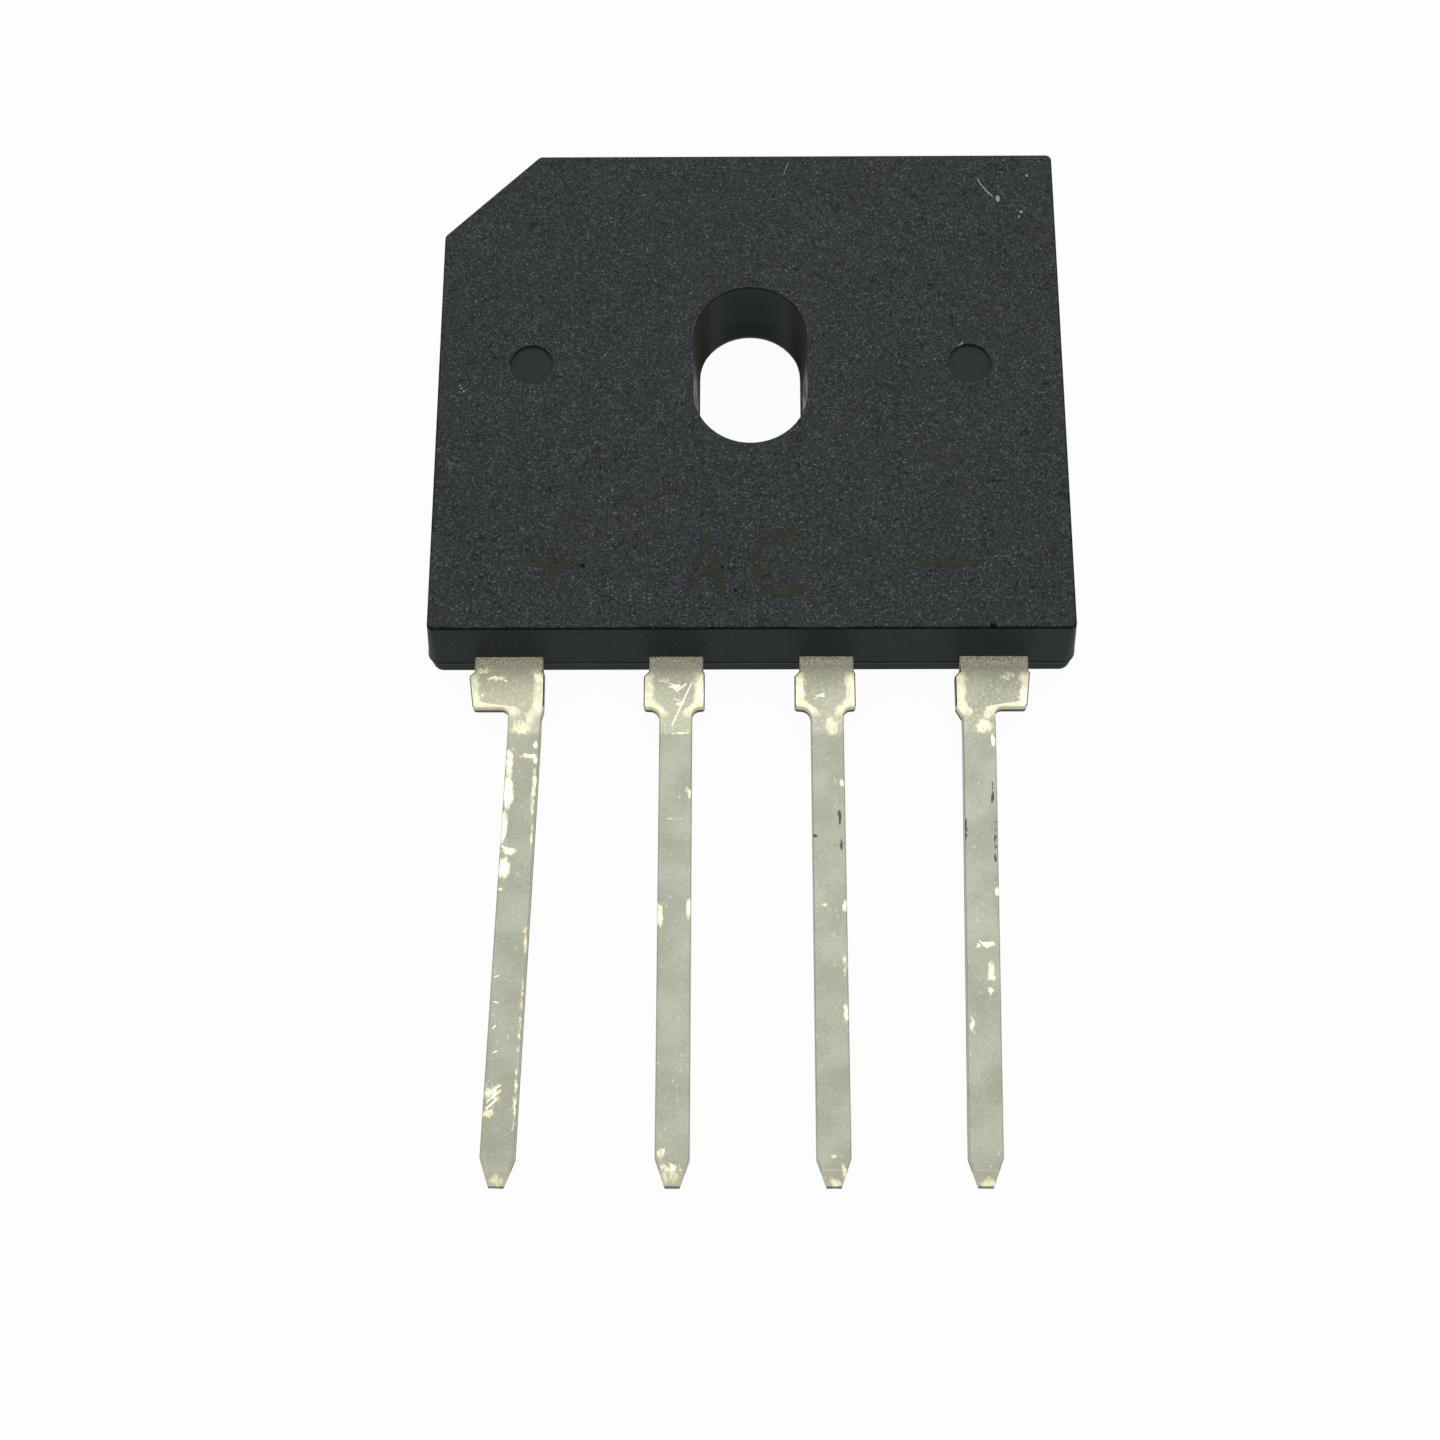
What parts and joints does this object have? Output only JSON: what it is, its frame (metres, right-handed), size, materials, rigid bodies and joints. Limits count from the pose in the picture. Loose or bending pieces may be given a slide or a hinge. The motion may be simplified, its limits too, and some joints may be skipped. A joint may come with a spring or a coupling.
{
  "type": "bridge rectifier",
  "caption": "Flat bridge rectifier: a black moulded block with a cut corner and a screw slot, and a row of tinned strip leads out of one edge.",
  "frame": {"origin": "middle of the screw slot on the flat back face", "axes": "+X along the row of leads from the positive to the negative lead, +Y from the leads to the top of the body, +Z out of the marked front face"},
  "size_m": [0.022, 0.0366, 0.0034],
  "materials": {
    "epoxy_compound": "fine sandy moulded texture",
    "tinned_copper": "matte tin plating with burnished edges",
    "silicon": "polished",
    "bare_copper": "satin",
    "solder": "satin"
  },
  "bodies": {
    "root": {"moulded_body": "epoxy_compound", "lead_positive": "tinned_copper", "lead_ac_left": "tinned_copper", "lead_ac_right": "tinned_copper", "lead_negative": "tinned_copper", "diode_die_1": "silicon", "diode_die_2": "silicon", "diode_die_3": "silicon", "diode_die_4": "silicon", "clip_ac_left": "bare_copper", "clip_ac_right": "bare_copper", "clip_negative": "bare_copper", "die_solder_1": "solder", "die_solder_2": "solder", "die_solder_3": "solder", "die_solder_4": "solder", "top_solder_1": "solder", "top_solder_2": "solder", "top_solder_3": "solder", "top_solder_4": "solder", "clip_solder_ac_left": "solder", "clip_solder_ac_right": "solder", "clip_solder_negative": "solder"}
  },
  "joints": []
}
